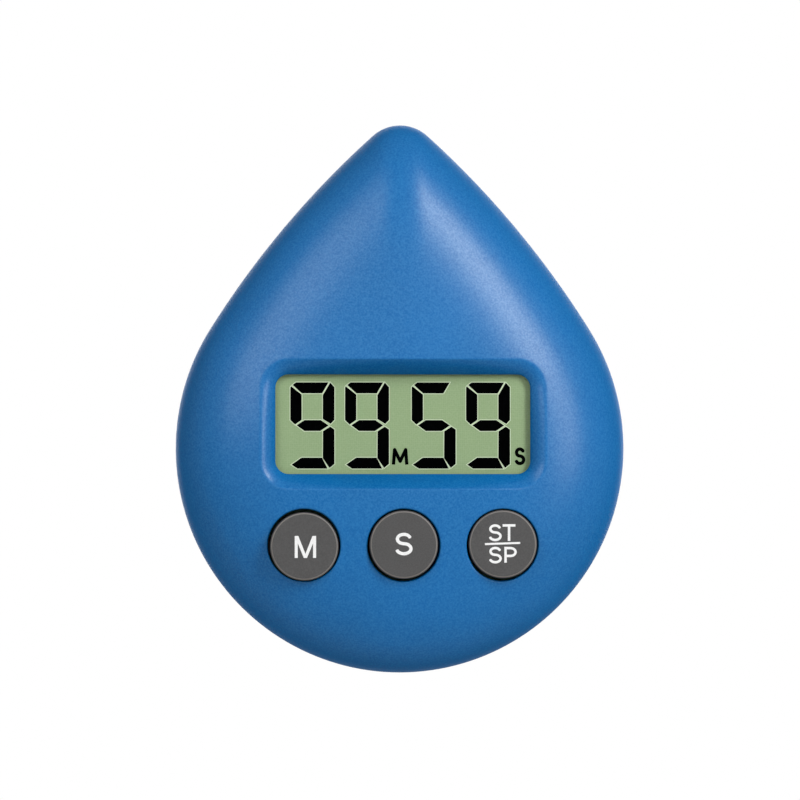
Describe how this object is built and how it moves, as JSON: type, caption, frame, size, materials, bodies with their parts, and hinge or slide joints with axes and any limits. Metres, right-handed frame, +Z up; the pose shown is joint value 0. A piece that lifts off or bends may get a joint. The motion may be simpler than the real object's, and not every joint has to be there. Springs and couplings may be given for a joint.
{
  "type": "countdown timer",
  "caption": "Drop-shaped digital countdown timer with a sunk LCD window, round push buttons, a coin-slot battery door and a suction cup that holds it on a smooth wall.",
  "frame": {"origin": "centre of the suction cup's lip, on the wall plane", "axes": "+Y into the wall, so the display looks along -Y; +Z up to the tip; +X to the right of a person who reads the display"},
  "size_m": [0.075, 0.0341, 0.0916],
  "materials": {
    "case_blue": "fine moulded texture",
    "button_grey": "matte",
    "dome_silicone": "satin, translucent",
    "carbon_black": "matte",
    "clear_window": "clear, polished",
    "lcd_film": "satin film",
    "lcd_glass": "polished",
    "clamp_white": "moulded",
    "board_green": "solder mask",
    "resin_black": "cast resin",
    "ceramic_tan": "fired",
    "steel": "bright",
    "brass": "rolled sheet",
    "cup_clear": "soft, half clear",
    "lead_red": "insulation",
    "lead_black": "insulation"
  },
  "bodies": {
    "case": {"front_shell": "case_blue", "rear_cover": "case_blue", "minute_dome": "dome_silicone", "second_dome": "dome_silicone", "start_stop_dome": "dome_silicone", "zebra_strip": "carbon_black", "case_seal": "carbon_black", "window_lens": "clear_window", "lcd_front_polariser": "lcd_film", "lcd_reflector": "lcd_film", "lcd_front_glass": "lcd_glass", "lcd_rear_glass": "lcd_glass", "lcd_clamp": "clamp_white", "main_pcb": "board_green", "chip_blob": "resin_black", "chip_resistor": "resin_black", "chip_capacitor_1": "ceramic_tan", "chip_capacitor_2": "ceramic_tan", "piezo_ceramic": "ceramic_tan", "crystal_can": "steel", "button_cell": "steel", "case_screw_1": "steel", "case_screw_2": "steel", "case_screw_3": "steel", "case_screw_4": "steel", "pcb_screw_1": "steel", "pcb_screw_2": "steel", "pcb_screw_3": "steel", "pcb_screw_4": "steel", "piezo_plate": "brass", "positive_contact": "brass", "negative_contact": "brass", "suction_cup": "cup_clear", "buzzer_lead_1": "lead_red", "battery_lead_1": "lead_red", "buzzer_lead_2": "lead_black", "battery_lead_2": "lead_black"},
    "minute_key": {"minute_button": "button_grey", "minute_pill": "carbon_black"},
    "second_key": {"second_button": "button_grey", "second_pill": "carbon_black"},
    "start_stop_key": {"start_stop_button": "button_grey", "start_stop_pill": "carbon_black"},
    "door": {"battery_door": "case_blue", "door_seal": "carbon_black"}
  },
  "joints": [
    {"name": "minute_press", "type": "slide", "parent": "case", "child": "minute_key", "axis": [0, 1, 0], "range_m": [0, 0.001], "stiffness_N_per_m": 900, "deforming": ["minute_dome"]},
    {"name": "second_press", "type": "slide", "parent": "case", "child": "second_key", "axis": [0, 1, 0], "range_m": [0, 0.001], "stiffness_N_per_m": 900, "deforming": ["second_dome"]},
    {"name": "start_stop_press", "type": "slide", "parent": "case", "child": "start_stop_key", "axis": [0, 1, 0], "range_m": [0, 0.001], "stiffness_N_per_m": 900, "deforming": ["start_stop_dome"]},
    {"name": "battery_door_turn", "type": "hinge", "parent": "case", "child": "door", "pos_m": [0, -0.01, 0.02738], "axis": [0, 1, 0], "range_deg": [0, 45]}
  ]
}
